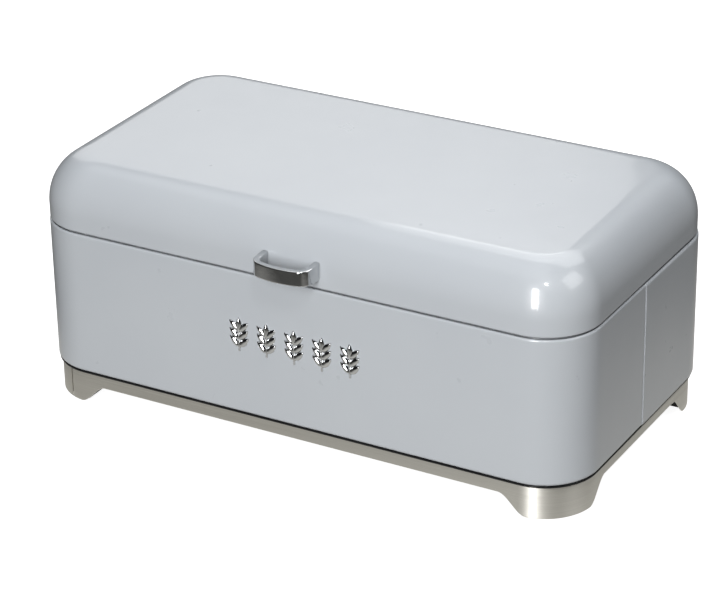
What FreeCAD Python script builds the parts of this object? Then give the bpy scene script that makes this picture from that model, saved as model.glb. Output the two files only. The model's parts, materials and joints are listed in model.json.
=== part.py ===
import FreeCAD, Part
import math
import os

import Sketcher

# Bread bin: a pressed steel lid hinged at the back of a two-piece steel body, which stands on a
# black base frame wrapped in a stainless plinth band with four bracket feet.
# +X is to the right, the front faces -Y, +Z is up, and the floor is z = 0.

SIZES = {
    # Overall plan, taken at the outside of the rear wall
    "width": 420.0,
    "depth": 226.0,
    "corner": 40.0,
    "gauge": 0.8,
    # Body shells
    "shell_base": 26.0,
    "shell_bend": 2.0,
    "flange_inset": 18.0,
    "front_inset": 0.9,
    "rear_inset": 0.0,
    "lip_top": 132.7,
    "front_lip_bend": 1.1,
    "rear_lip_bend": 1.9,
    "neck_inset": 3.4,
    "neck_bend": 0.9,
    "neck_top": 139.6,
    "neck_hem": 5.0,
    "neck_fold": 1.6,
    "fold_bend": 0.75,
    "seam_forward": 4.0,
    "lap_base": 34.0,
    "lap_top": 128.0,
    "lap_length": 10.0,
    "seam_round": 0.7,
    # Lid
    "lid_gap": 0.6,
    "lid_inset": 0.6,
    "lid_top": 180.0,
    "shoulder": 34.0,
    "lid_hem": 6.0,
    "hem_round": 0.6,
    # Floor pan
    "pan_inset": 7.6,
    "pan_field": 24.0,
    "pan_rise": 1.6,
    # Base frame and its legs
    "edge_depth": 1.5,
    "edge_inset": 1.2,
    "edge_round": 0.5,
    "shelf_inset": 24.0,
    "skirt_gauge": 2.5,
    "skirt_lift": 1.8,
    "leg_clear": 2.4,
    "leg_plan": 35.0,
    "leg_wall": 23.0,
    # Plinth band
    "band_top": 24.5,
    "band_inset": 3.0,
    "band_gauge": 0.8,
    "band_play": 0.1,
    "band_clear": 0.6,
    "rail_base": 14.7,
    "end_rail_base": 15.9,
    "arch_half_width": 171.4,
    "arch_half_depth": 75.8,
    "arch_slope": 13.9,
    "arch_round": 10.0,
    "foot_round": 8.0,
    "seam_place": 184.0,
    "seam_gap": 1.3,
    # Rubber foot pads
    "pad_radius": 9.0,
    "pad_inset": 25.0,
    "pad_height": 3.4,
    # Handle
    "handle_width": 43.6,
    "handle_place": 2.6,
    "handle_level": 146.2,
    "handle_root": 12.6,
    "handle_tip": 10.3,
    "handle_corner": 16.0,
    "handle_bow": 4.6,
    "handle_strap": 4.4,
    "handle_bend": 6.4,
    "handle_round": 0.7,
    "bow_radius": 60.0,
    "screw_level": 142.9,
    "screw_radius": 1.25,
    "screw_grip": 8.0,
    "screw_slack": 0.5,
    "screw_head": 2.5,
    "screw_rise": 1.6,
    "screw_round": 0.8,
    "washer_radius": 3.1,
    "washer_gauge": 0.6,
    # Hinges
    "hinge_place": 110.0,
    "hinge_reach": 3.3,
    "hinge_width": 30.0,
    "hinge_gauge": 1.2,
    "knuckle_radius": 3.0,
    "knuckle_width": 12.0,
    "knuckle_gap": 0.3,
    "pin_radius": 1.5,
    "pin_head": 2.3,
    "pin_rise": 0.9,
    "pin_round": 0.5,
    "pin_play": 0.05,
    "leaf_base": 105.0,
    "leaf_top": 146.0,
    "leaf_clear": 0.4,
    "leaf_slope": 1.6,
    "leaf_round": 3.0,
    "rivet_radius": 1.6,
    "rivet_head": 2.6,
    "rivet_rise": 1.2,
    "rivet_tail": 0.8,
    "rivet_round": 1.1,
    "rivet_spread": 9.0,
    "base_rivet_inset": 14.0,
    "base_rivet_spread": 120.0,
    "body_rivet_level": 113.0,
    "lid_rivet_level": 142.6,
    # Wheat-ear ornaments
    "ear_place": 3.6,
    "ear_level": 73.4,
    "ear_height": 25.0,
    "ear_pitch": 21.4,
    "ear_rise": 2.0,
    "stem_width": 2.2,
    "stem_rise": 1.5,
    "stem_overlap": 2.0,
    "kernel_length": 10.4,
    "kernel_width": 4.6,
    "kernel_bend": 2.0,
    "kernel_tilt": 44.0,
    "kernel_pitch": 5.8,
    "stud_radius": 1.0,
    "stud_length": 4.0,
    "stud_low": 4.0,
    "stud_high": 17.0,
    "nut_radius": 3.0,
    "nut_gauge": 0.6,
}

EARS = 5
KERNEL_PAIRS = 3
BEVEL = 38.0          # degrees, the slope of an ornament's sides

# Heights and distances that several pieces share
LID_BASE = "sizes.lip_top + sizes.lid_gap"
FRONT_WALL = "sizes.depth / 2 - sizes.front_inset"
REAR_WALL = "sizes.depth / 2 - sizes.rear_inset"
LID_WALL = "sizes.depth / 2 - sizes.lid_inset"
HINGE_Y = "sizes.depth / 2 + sizes.hinge_reach"
BOW_SLOPE = "(2 * sizes.handle_bow / sizes.handle_width)"
BOW_CREST = (f"sizes.handle_corner + sizes.handle_bow"
             f" - sizes.bow_radius * (sqrt(1 + {BOW_SLOPE} ^ 2) - 1)")

# The origin is under the middle of the whole object, handle and hinges included
SHIFT = f"(({LID_WALL}) + ({BOW_CREST}) - ({HINGE_Y}) - sizes.knuckle_radius) / 2"

doc = FreeCAD.newDocument("bread_bin")


def fill_sheet():
    sheet = doc.addObject("Spreadsheet::Sheet", "sizes")
    for row, (alias, size) in enumerate(SIZES.items(), start=1):
        sheet.set(f"A{row}", alias)
        sheet.set(f"B{row}", str(size))
        sheet.setAlias(f"B{row}", alias)
    doc.recompute()
    return sheet


sheet = fill_sheet()


def value(expression):
    """The number that an expression on the sheet's sizes gives."""
    result = sheet.evalExpression(str(expression).replace("sizes.", ""))
    return float(getattr(result, "Value", result))


# ---------------------------------------------------------------- building helpers

def new_body(label, x="0"):
    body = doc.addObject("PartDesign::Body", label)
    body.Label = label
    body.AllowCompound = True
    body.setExpression("Placement.Base.x", x)
    body.setExpression("Placement.Base.y", SHIFT)
    return body


def sketch_on(body, name, role, offset="0"):
    """A sketch on one of the body's origin planes, moved along the plane's normal."""
    plane = [item for item in body.Origin.OriginFeatures if item.Role == role][0]
    sketch = body.newObject("Sketcher::SketchObject", name)
    sketch.AttachmentSupport = [(plane, "")]
    sketch.MapMode = "FlatFace"
    sketch.setExpression("AttachmentOffset.Base.z", offset)
    return sketch


def place(sketch, shape, corner, x, y, expressions):
    """Hold one point of a shape at (x, y), given as expressions."""
    for kind, expression in (("DistanceX", x), ("DistanceY", y)):
        rule = Sketcher.Constraint(kind, -1, 1, shape, corner, value(expression))
        expressions.append((sketch.addConstraint(rule), expression))


def bind(sketch, expressions):
    for index, expression in expressions:
        sketch.setExpression(f"Constraints[{index}]", str(expression))


def outline(sketch, corners, closed=True):
    """Straight runs through corners (x, y) or (x, y, radius), rounded where a radius is given."""
    points = [FreeCAD.Vector(value(c[0]), value(c[1]), 0) for c in corners]
    last = len(corners) - 1
    starts, ends, arcs = [], [], []
    for i, corner in enumerate(corners):
        point, before, after = points[i], points[i - 1], points[(i + 1) % len(corners)]
        if len(corner) < 3:
            starts.append(point)
            ends.append(point)
            arcs.append(None)
            continue
        radius = value(corner[2])
        back, ahead = (before - point).normalize(), (after - point).normalize()
        half = back.getAngle(ahead) / 2
        toward = (back + ahead).normalize()
        starts.append(point + back * (radius / math.tan(half)))
        ends.append(point + ahead * (radius / math.tan(half)))
        middle = point + toward * (radius / math.sin(half) - radius)
        arcs.append(Part.Arc(starts[i], middle, ends[i]))
    runs = {}
    for i in range(len(corners) if closed else last):
        line = Part.LineSegment(ends[i], starts[(i + 1) % len(corners)])
        runs[i] = sketch.addGeometry(line)
    expressions = []
    for i, corner in enumerate(corners):
        before = runs.get(i - 1 if i else last)
        after = runs.get(i)
        if arcs[i]:
            arc = sketch.addGeometry(arcs[i])
            first = 1 if sketch.getPoint(arc, 1).distanceToPoint(starts[i]) < 1e-6 else 2
            sketch.addConstraint(Sketcher.Constraint("Tangent", before, 2, arc, first))
            sketch.addConstraint(Sketcher.Constraint("Tangent", arc, 3 - first, after, 1))
            rule = Sketcher.Constraint("Radius", arc, value(corner[2]))
            expressions.append((sketch.addConstraint(rule), corner[2]))
            vertex = sketch.addGeometry(Part.Point(points[i]), True)
            place(sketch, vertex, 1, corner[0], corner[1], expressions)
            sketch.addConstraint(Sketcher.Constraint("PointOnObject", vertex, 1, before))
            sketch.addConstraint(Sketcher.Constraint("PointOnObject", vertex, 1, after))
        elif before is None or after is None:
            shape, end = (after, 1) if before is None else (before, 2)
            place(sketch, shape, end, corner[0], corner[1], expressions)
        else:
            sketch.addConstraint(Sketcher.Constraint("Coincident", before, 2, after, 1))
            place(sketch, after, 1, corner[0], corner[1], expressions)
    bind(sketch, expressions)


def circle(sketch, x, y, radius):
    centre = FreeCAD.Vector(value(x), value(y), 0)
    shape = sketch.addGeometry(Part.Circle(centre, FreeCAD.Vector(0, 0, 1), value(radius)))
    expressions = [(sketch.addConstraint(Sketcher.Constraint("Radius", shape, value(radius))), radius)]
    place(sketch, shape, 3, x, y, expressions)
    bind(sketch, expressions)


def rectangle(sketch, x_low, y_low, x_high, y_high):
    outline(sketch, [(x_low, y_low), (x_high, y_low), (x_high, y_high), (x_low, y_high)])


def plan(sketch, inset):
    """The bin's rounded rectangle, moved in from its widest outline."""
    x = f"(sizes.width / 2 - {inset})"
    y = f"(sizes.depth / 2 - {inset})"
    radius = f"sizes.corner - {inset}"
    outline(sketch, [(f"-{x}", f"-{y}", radius), (x, f"-{y}", radius),
                     (x, y, radius), (f"-{x}", y, radius)])


def sheet_section(sketch, route):
    """A folded sheet's section: half the gauge each side of square runs (x, y, bend)."""
    points = [FreeCAD.Vector(value(step[0]), value(step[1]), 0) for step in route]
    normals = []
    for here, there in zip(points, points[1:]):
        run = (there - here).normalize()
        normals.append(FreeCAD.Vector(-run.y, run.x, 0))
    sides = {1: [], -1: []}
    for i, step in enumerate(route):
        before = normals[max(i - 1, 0)]
        after = normals[min(i, len(normals) - 1)]
        shift = before if before == after else before + after
        turn = before.cross(after).z
        for side, corners in sides.items():
            x = f"{step[0]} + {side * shift.x / 2:g} * sizes.gauge"
            y = f"{step[1]} + {side * shift.y / 2:g} * sizes.gauge"
            bend = [f"{step[2]} - {side * turn / 2:g} * sizes.gauge"] if len(step) > 2 else []
            corners.append((x, y, *bend))
    outline(sketch, sides[1] + sides[-1][::-1])


def pad(body, name, sketch, length, reverse=False, middle=False, taper=0.0):
    feature = body.newObject("PartDesign::Pad", name)
    feature.Profile = sketch
    feature.setExpression("Length", length)
    feature.Reversed = reverse
    feature.SideType = "Symmetric" if middle else "One side"
    feature.TaperAngle = taper
    doc.recompute()
    return feature


def pocket(body, name, sketch, reverse=False, middle=False, length=None):
    """Cut a sketch out of the body, and make sure that something was cut."""
    before = body.Shape.Volume
    feature = body.newObject("PartDesign::Pocket", name)
    feature.Profile = sketch
    feature.Reversed = reverse
    feature.SideType = "Symmetric" if middle else "One side"
    if length is None:
        feature.Type = "ThroughAll"
    else:
        feature.setExpression("Length", length)
    doc.recompute()
    if feature.Shape.Volume > before - 0.01:
        raise RuntimeError(f"{body.Label}: {name} cuts nothing")
    return feature


def sweep(body, name, section, path):
    doc.recompute()
    feature = body.newObject("PartDesign::AdditivePipe", name)
    feature.Profile = section
    feature.Spine = (path, [])
    doc.recompute()
    return feature


def round_edges(body, name, radius, chosen):
    """Fillet the edges of the body's tip that a test picks."""
    tip = body.Tip
    edges = [f"Edge{i}" for i, edge in enumerate(tip.Shape.Edges, start=1) if chosen(edge)]
    feature = body.newObject("PartDesign::Fillet", name)
    feature.Base = (tip, edges)
    feature.setExpression("Radius", radius)
    doc.recompute()
    return feature


def level(edge, z):
    """Whether an edge lies flat at a height."""
    box = edge.BoundBox
    return abs(box.ZMin - z) < 1e-4 and abs(box.ZMax - z) < 1e-4


def at_depth(edge, y):
    """Whether an edge lies in the plane at a distance from the back-to-front middle."""
    box = edge.BoundBox
    return abs(box.YMin - y) < 1e-4 and abs(box.YMax - y) < 1e-4


# ---------------------------------------------------------------- body

def shell(label, side, wall_inset, lip_bend):
    """Half of the body wall: a U in plan, folded from one strip of sheet."""
    body = new_body(label)
    wall = f"({wall_inset} + sizes.gauge / 2)"
    neck = "(sizes.neck_inset + sizes.gauge / 2)"
    base = "sizes.shell_base + sizes.gauge / 2"
    lip = "sizes.lip_top - sizes.gauge / 2"
    top = "sizes.neck_top - sizes.gauge / 2"
    across = "sizes.width / 2"
    path = sketch_on(body, "Path", "XY_Plane")
    x = f"(sizes.width / 2 - {wall})"
    y = f"{side} * (sizes.depth / 2 - {wall})"
    seam = "-sizes.seam_forward"
    radius = f"sizes.corner - {wall}"
    outline(path, [(x, seam), (x, y, radius), (f"-{x}", y, radius), (f"-{x}", seam)], closed=False)
    section = sketch_on(body, "Section", "XZ_Plane", "sizes.seam_forward")
    sheet_section(section, [
        (f"{across} - sizes.flange_inset", base),
        (f"{across} - {wall}", base, "sizes.shell_bend - sizes.gauge / 2"),
        (f"{across} - {wall}", lip, lip_bend),
        (f"{across} - {neck}", lip, "sizes.neck_bend"),
        (f"{across} - {neck}", top, "sizes.fold_bend"),
        (f"{across} - {neck} - sizes.neck_fold", top, "sizes.fold_bend"),
        (f"{across} - {neck} - sizes.neck_fold", "sizes.neck_top - sizes.neck_hem"),
    ])
    sweep(body, "Wall", section, path)
    return body


def front_shell():
    body = shell("front_shell", -1, "sizes.front_inset", "sizes.front_lip_bend")
    lap = sketch_on(body, "Lap", "XZ_Plane", "sizes.seam_forward")
    outer = "sizes.width / 2 - sizes.front_inset"
    for sign in ("", "-"):
        rectangle(lap, f"{sign}({outer} - sizes.gauge)", "sizes.lap_base",
                  f"{sign}({outer})", "sizes.lap_top")
    pad(body, "LapStrips", lap, "sizes.lap_length", reverse=True)
    holes = sketch_on(body, "StudHoles", "XZ_Plane")
    for x, z in stud_places():
        circle(holes, x, z, "sizes.stud_radius")
    pocket(body, "StudHolesCut", holes, reverse=True)
    cut_base_rivets(body, rows=(-1,))
    return body


def rear_shell():
    body = shell("rear_shell", 1, "sizes.rear_inset", "sizes.rear_lip_bend")
    edge_x, seam_y = value("sizes.width / 2 - sizes.rear_inset"), value("-sizes.seam_forward")
    round_edges(body, "SeamEdges", "sizes.seam_round", lambda edge: (
        at_depth(edge, seam_y) and edge.BoundBox.ZLength > 50
        and abs(abs(edge.BoundBox.Center.x) - edge_x) < 1e-4))
    holes = sketch_on(body, "RivetHoles", "XZ_Plane")
    for x in hinge_rivet_places():
        circle(holes, x, "sizes.body_rivet_level", "sizes.rivet_radius")
    pocket(body, "RivetHolesCut", holes)
    cut_base_rivets(body, rows=(1,))
    return body


def base_rivet_centres(rows=(-1, 1)):
    for row in rows:
        for column in (-1, 0, 1):
            yield (f"{column} * sizes.base_rivet_spread",
                   f"{row} * (sizes.depth / 2 - sizes.base_rivet_inset)")


def cut_base_rivets(body, rows=(-1, 1)):
    """Holes for the rivets that hold the floor, the shells and the base frame together."""
    holes = sketch_on(body, "BaseHoles", "XY_Plane", "sizes.shell_base")
    for x, y in base_rivet_centres(rows):
        circle(holes, x, y, "sizes.rivet_radius")
    pocket(body, "BaseHolesCut", holes, middle=True, length="sizes.flange_inset")


def floor_pan():
    """The bin's floor: a plate on the shells' flanges with a raised field."""
    body = new_body("floor_pan")
    low = "sizes.shell_base + sizes.gauge"
    rim = sketch_on(body, "Rim", "XY_Plane", low)
    plan(rim, "sizes.pan_inset")
    pad(body, "Plate", rim, "sizes.gauge")
    field = sketch_on(body, "Field", "XY_Plane", low)
    plan(field, "sizes.pan_field")
    pad(body, "Raised", field, "sizes.gauge + sizes.pan_rise")
    hollow = sketch_on(body, "Hollow", "XY_Plane", low)
    plan(hollow, "(sizes.pan_field + sizes.gauge)")
    pocket(body, "Underside", hollow, reverse=True, length="sizes.pan_rise")
    cut_base_rivets(body)
    return body


# ---------------------------------------------------------------- base

def corner_loops(sketch, corners):
    """The same closed outline in all four corners."""
    for across in ("1", "-1"):
        for back in ("1", "-1"):
            outline(sketch, [(f"{across} * ({c[0]})", f"{back} * ({c[1]})", *c[2:]) for c in corners])


def base_frame():
    """Black moulded frame: a shelf under the shells, a skirt inside the band, four legs."""
    body = new_body("base_frame")
    inner = "(sizes.band_inset + sizes.band_gauge + sizes.band_play)"
    shelf = sketch_on(body, "Shelf", "XY_Plane", "sizes.band_top")
    plan(shelf, "sizes.edge_inset")
    plan(shelf, "sizes.shelf_inset")
    pad(body, "ShelfPad", shelf, "sizes.edge_depth")
    inner_x = value("sizes.width / 2 - sizes.shelf_inset")
    inner_y = value("sizes.depth / 2 - sizes.shelf_inset")
    round_edges(body, "EdgeRound", "sizes.edge_round", lambda edge: (
        edge.BoundBox.ZLength < 0.01
        and (edge.BoundBox.XMax > inner_x + 1 or edge.BoundBox.XMin < -inner_x - 1
             or edge.BoundBox.YMax > inner_y + 1 or edge.BoundBox.YMin < -inner_y - 1)))
    skirt = sketch_on(body, "Skirt", "XY_Plane", "sizes.band_top")
    plan(skirt, inner)
    plan(skirt, f"({inner} + sizes.skirt_gauge)")
    pad(body, "SkirtPad", skirt, "sizes.band_top - sizes.rail_base - sizes.skirt_lift", reverse=True)
    legs = sketch_on(body, "Legs", "XY_Plane", "sizes.band_top")
    leg = f"({inner} + sizes.skirt_gauge / 2)"
    x, y = f"sizes.width / 2 - {leg}", f"sizes.depth / 2 - {leg}"
    corner_loops(legs, [
        (f"{x} - sizes.leg_plan", y), (x, y, f"sizes.corner - {leg}"),
        (x, f"{y} - sizes.leg_plan"), (f"{x} - sizes.leg_wall", f"{y} - sizes.leg_plan"),
        (f"{x} - sizes.leg_plan", f"{y} - sizes.leg_wall")])
    pad(body, "LegsPad", legs, "sizes.band_top - sizes.leg_clear", reverse=True)
    seats = sketch_on(body, "PadSeats", "XY_Plane", "sizes.leg_clear")
    for px, py in pad_places():
        circle(seats, px, py, "sizes.pad_radius")
    pocket(body, "PadSeatsCut", seats, reverse=True, length="sizes.pad_height - sizes.leg_clear")
    cut_base_rivets(body)
    return body


def plinth_band():
    """One strip of stainless steel round the base, arched between its feet, open at a seam."""
    body = new_body("plinth_band")
    strip = sketch_on(body, "Strip", "XY_Plane", "sizes.band_clear")
    plan(strip, "sizes.band_inset")
    plan(strip, "(sizes.band_inset + sizes.band_gauge)")
    pad(body, "StripPad", strip, "sizes.band_top - sizes.band_clear")
    for name, role, half, rail in (
            ("Long", "XZ_Plane", "sizes.arch_half_width", "sizes.rail_base"),
            ("Short", "YZ_Plane", "sizes.arch_half_depth", "sizes.end_rail_base")):
        arch = sketch_on(body, f"{name}Arch", role)
        low, out = "sizes.band_clear", f"{half} + sizes.foot_round"
        outline(arch, [
            (f"-({out})", "0"), (out, "0"), (out, low), (half, low, "sizes.foot_round"),
            (f"{half} - sizes.arch_slope", rail, "sizes.arch_round"),
            (f"-({half} - sizes.arch_slope)", rail, "sizes.arch_round"),
            (f"-{half}", low, "sizes.foot_round"), (f"-({out})", low)])
        pocket(body, f"{name}ArchCut", arch, middle=True)
    seam = sketch_on(body, "Seam", "XY_Plane")
    rectangle(seam, "-sizes.seam_place - sizes.seam_gap / 2", "-sizes.depth / 2",
              "-sizes.seam_place + sizes.seam_gap / 2", "-sizes.depth / 2 + sizes.corner / 2")
    pocket(body, "SeamCut", seam, reverse=True)
    return body


def pad_places():
    for row in ("-1", "1"):
        for side in ("-1", "1"):
            yield (f"{side} * (sizes.width / 2 - sizes.pad_inset)",
                   f"{row} * (sizes.depth / 2 - sizes.pad_inset)")


def foot_pad(label, x, y):
    body = new_body(label)
    disc = sketch_on(body, "Disc", "XY_Plane")
    circle(disc, x, y, "sizes.pad_radius")
    pad(body, "DiscPad", disc, "sizes.pad_height")
    round_edges(body, "Sole", "sizes.edge_round", lambda edge: level(edge, 0))
    return body


# ---------------------------------------------------------------- lid

def lid_shell():
    """Deep-drawn lid: an upright skirt, a round shoulder and a hem folded inside."""
    body = new_body("lid_shell")
    block = sketch_on(body, "Plan", "XY_Plane", LID_BASE)
    plan(block, "sizes.lid_inset")
    pad(body, "Block", block, f"sizes.lid_top - ({LID_BASE})")
    cavity = sketch_on(body, "Cavity", "XY_Plane", LID_BASE)
    plan(cavity, "(sizes.lid_inset + sizes.gauge)")
    pocket(body, "CavityCut", cavity, reverse=True, length=f"sizes.lid_top - sizes.gauge - ({LID_BASE})")
    round_edges(body, "InnerShoulder", "sizes.shoulder - sizes.gauge",
                lambda edge: level(edge, value("sizes.lid_top - sizes.gauge")))
    round_edges(body, "Shoulder", "sizes.shoulder",
                lambda edge: level(edge, value("sizes.lid_top")))
    hem = sketch_on(body, "Hem", "XY_Plane", LID_BASE)
    plan(hem, "sizes.lid_inset")
    plan(hem, "(sizes.lid_inset + 2 * sizes.gauge)")
    pad(body, "HemPad", hem, "sizes.lid_hem")
    round_edges(body, "HemRound", "sizes.hem_round", lambda edge: level(edge, value(LID_BASE)))
    screws = sketch_on(body, "ScrewHoles", "XZ_Plane")
    for x in screw_places():
        circle(screws, x, "sizes.screw_level", "sizes.screw_radius")
    pocket(body, "ScrewHolesCut", screws, reverse=True)
    rivets = sketch_on(body, "RivetHoles", "XZ_Plane")
    for x in hinge_rivet_places():
        circle(rivets, x, "sizes.lid_rivet_level", "sizes.rivet_radius")
    pocket(body, "RivetHolesCut", rivets)
    return body


def screw_places():
    reach = "(sizes.handle_width - sizes.handle_strap) / 2"
    return [f"sizes.handle_place - {reach}", f"sizes.handle_place + {reach}"]


def handle():
    """Chrome bow: two legs on the lid's skirt joined by a bar that swells to the front."""
    body = new_body("handle", "sizes.handle_place")
    half, strap = "sizes.handle_width / 2", "sizes.handle_strap"
    root = f"-({LID_WALL})"
    corner = f"{root} - sizes.handle_corner"
    middle = f"{corner} - sizes.handle_bow"
    inset = f"{strap} * sqrt(1 + {BOW_SLOPE} ^ 2)"
    inner = f"{corner} + {inset} - {strap} * {BOW_SLOPE}"
    bend, small = "sizes.handle_bend", f"sizes.handle_bend - {strap}"
    bow = sketch_on(body, "Bow", "XY_Plane", "sizes.handle_level")
    outline(bow, [
        (half, root), (half, corner, bend), ("0", middle, "sizes.bow_radius"),
        (f"-{half}", corner, bend), (f"-{half}", root),
        (f"-{half} + {strap}", root), (f"-{half} + {strap}", inner, small),
        ("0", f"{middle} + {inset}", f"sizes.bow_radius - {strap}"),
        (f"{half} - {strap}", inner, small), (f"{half} - {strap}", root)])
    pad(body, "BowPad", bow, "sizes.handle_root", middle=True)
    taper = sketch_on(body, "Taper", "YZ_Plane")
    back, front = f"{root} - {strap}", f"{middle}"
    for sign in ("+", "-"):
        near = f"sizes.handle_level {sign} sizes.handle_root / 2"
        far = f"sizes.handle_level {sign} sizes.handle_tip / 2"
        outline(taper, [(back, near), (front, far), (front, near)])
    pocket(body, "TaperCut", taper, middle=True)
    front_y = value(root) - 1
    round_edges(body, "Softened", "sizes.handle_round", lambda edge: (
        edge.BoundBox.YMin < front_y and edge.BoundBox.ZLength < 3))
    taps = sketch_on(body, "Taps", "XZ_Plane", LID_WALL)
    for sign in ("-", ""):
        circle(taps, f"{sign}({half} - {strap} / 2)", "sizes.screw_level", "sizes.screw_radius")
    pocket(body, "TapsCut", taps, reverse=True, length="sizes.screw_grip + sizes.screw_slack")
    return body


def stack(label, centres, layers):
    """Round fasteners on a plane of constant y: layers (from y, to y, radius, bore)."""
    body = new_body(label)
    for number, (start, stop, radius, bore) in enumerate(layers, start=1):
        sketch = sketch_on(body, f"Layer{number}", "XZ_Plane", f"-({start})")
        for x, z in centres:
            circle(sketch, x, z, radius)
            if bore:
                circle(sketch, x, z, bore)
        pad(body, f"Layer{number}Pad", sketch, f"({stop}) - ({start})", reverse=True)
    return body


def handle_screws():
    inside = f"-({LID_WALL}) + sizes.gauge + sizes.washer_gauge"
    tip = f"-({LID_WALL}) - sizes.screw_grip"
    head = f"{inside} + sizes.screw_rise"
    centres = [(x, "sizes.screw_level") for x in screw_places()]
    body = stack("handle_screws", centres, [
        (tip, inside, "sizes.screw_radius", None), (inside, head, "sizes.screw_head", None)])
    face = value(head)
    round_edges(body, "Heads", "sizes.screw_round", lambda edge: at_depth(edge, face))
    return body


def handle_washers():
    wall = f"-({LID_WALL}) + sizes.gauge"
    centres = [(x, "sizes.screw_level") for x in screw_places()]
    return stack("handle_washers", centres, [
        (wall, f"{wall} + sizes.washer_gauge", "sizes.washer_radius", "sizes.screw_radius")])


# ---------------------------------------------------------------- hinges

def hinge_rivet_places():
    for side in ("-", ""):
        for offset in ("-", "+"):
            yield f"{side}sizes.hinge_place {offset} sizes.rivet_spread"


def leaf(label, x, crank, end):
    """A hinge leaf with the two corners at its free end rounded."""
    body = new_body(label, x)
    section = sketch_on(body, "Leaf", "YZ_Plane")
    outline(section, crank)
    pad(body, "LeafPad", section, "sizes.hinge_width", middle=True)
    tip = value(end)
    round_edges(body, "Corners", "sizes.leaf_round",
                lambda edge: level(edge, tip) and edge.BoundBox.XLength < 0.1)
    return body


def barrel(body, start, stop, width):
    """The strip that rises to the pin and the knuckle round it."""
    link = sketch_on(body, "Link", "YZ_Plane")
    rectangle(link, REAR_WALL, start, f"{REAR_WALL} + sizes.hinge_gauge", stop)
    pad(body, "LinkPad", link, width, middle=True)
    knuckle = sketch_on(body, "Knuckle", "YZ_Plane")
    circle(knuckle, HINGE_Y, LID_BASE, "sizes.knuckle_radius")
    pad(body, "KnucklePad", knuckle, width, middle=True)


def bore(body, radius):
    hole = sketch_on(body, "Bore", "YZ_Plane")
    circle(hole, HINGE_Y, LID_BASE, radius)
    pocket(body, "BoreCut", hole, middle=True)


def leaf_holes(body, z):
    holes = sketch_on(body, "LeafHoles", "XZ_Plane")
    for sign in ("-", ""):
        circle(holes, f"{sign}sizes.rivet_spread", z, "sizes.rivet_radius")
    pocket(body, "LeafHolesCut", holes)


def hinge_body_leaf(label, x):
    wall = f"({REAR_WALL})"
    face = f"{wall} + sizes.hinge_gauge"
    top = f"{LID_BASE} - sizes.knuckle_radius - sizes.leaf_clear"
    body = leaf(label, x, [(wall, "sizes.leaf_base"), (wall, top), (face, top),
                           (face, "sizes.leaf_base")], "sizes.leaf_base")
    barrel(body, "sizes.body_rivet_level", LID_BASE, "sizes.knuckle_width")
    bore(body, "sizes.pin_radius")
    leaf_holes(body, "sizes.body_rivet_level")
    return body


def hinge_lid_leaf(label, x):
    """The leaf on the lid, cranked out to clear the body's wall below it."""
    lid, wall, thick = f"({LID_WALL})", f"({REAR_WALL})", "sizes.hinge_gauge"
    low = f"{LID_BASE} + sizes.knuckle_radius + sizes.leaf_clear"
    body = leaf(label, x, [
        (lid, "sizes.leaf_top"), (f"{lid} + {thick}", "sizes.leaf_top"),
        (f"{lid} + {thick}", f"{low} + sizes.leaf_slope"), (f"{wall} + {thick}", low),
        (wall, low), (lid, f"{low} + sizes.leaf_slope")], "sizes.leaf_top")
    barrel(body, LID_BASE, f"{low} + sizes.leaf_clear", "sizes.hinge_width")
    middle = sketch_on(body, "Middle", "YZ_Plane")
    rectangle(middle, "sizes.depth / 2 - 1", f"{LID_BASE} - 2 * sizes.knuckle_radius",
              f"{HINGE_Y} + 2 * sizes.knuckle_radius", low)
    pocket(body, "MiddleCut", middle, middle=True,
           length="sizes.knuckle_width + 2 * sizes.knuckle_gap")
    bore(body, "sizes.pin_radius + sizes.pin_play")
    leaf_holes(body, "sizes.lid_rivet_level")
    return body


def hinge_pin(label, x):
    body = new_body(label, x)
    half = "(sizes.hinge_width / 2 + sizes.knuckle_gap)"
    shank = sketch_on(body, "Shank", "YZ_Plane")
    circle(shank, HINGE_Y, LID_BASE, "sizes.pin_radius")
    pad(body, "ShankPad", shank, f"2 * {half} + sizes.pin_rise", middle=True)
    for number, (start, reverse) in enumerate(((half, False), (f"-{half}", True)), start=1):
        head = sketch_on(body, f"Head{number}", "YZ_Plane", start)
        circle(head, HINGE_Y, LID_BASE, "sizes.pin_head")
        pad(body, f"Head{number}Pad", head, "sizes.pin_rise", reverse=reverse)
    ends = value(f"{half} + sizes.pin_rise")
    round_edges(body, "Peened", "sizes.pin_round",
                lambda edge: abs(abs(edge.BoundBox.XMax) - ends) < 1e-4)
    return body


def hinge_rivets(label, wall, z, leaf_face):
    """Rivets through a leaf and a wall, domed outside and set flat inside."""
    inside = f"({wall}) - sizes.gauge"
    outside = f"({leaf_face}) + sizes.hinge_gauge"
    centres = [(x, z) for x in hinge_rivet_places()]
    body = stack(label, centres, [
        (f"{inside} - sizes.rivet_tail", inside, "sizes.rivet_head", None),
        (inside, outside, "sizes.rivet_radius", None),
        (outside, f"{outside} + sizes.rivet_rise", "sizes.rivet_head", None)])
    face = value(f"{outside} + sizes.rivet_rise")
    round_edges(body, "Domes", "sizes.rivet_round", lambda edge: at_depth(edge, face))
    return body


def base_rivets():
    """Blind rivets through the floor pan, the shells' flanges and the base frame."""
    body = new_body("base_rivets")
    floor = "sizes.shell_base + 2 * sizes.gauge"
    layers = (("Tail", "sizes.band_top - sizes.rivet_tail", "sizes.band_top", "sizes.rivet_head"),
              ("Shank", "sizes.band_top", floor, "sizes.rivet_radius"),
              ("Head", floor, f"{floor} + sizes.rivet_rise", "sizes.rivet_head"))
    for name, start, stop, radius in layers:
        sketch = sketch_on(body, name, "XY_Plane", start)
        for x, y in base_rivet_centres():
            circle(sketch, x, y, radius)
        pad(body, f"{name}Pad", sketch, f"({stop}) - ({start})")
    top = value(f"{floor} + sizes.rivet_rise")
    round_edges(body, "Domes", "sizes.rivet_round", lambda edge: level(edge, top))
    return body


# ---------------------------------------------------------------- ornaments

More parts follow.
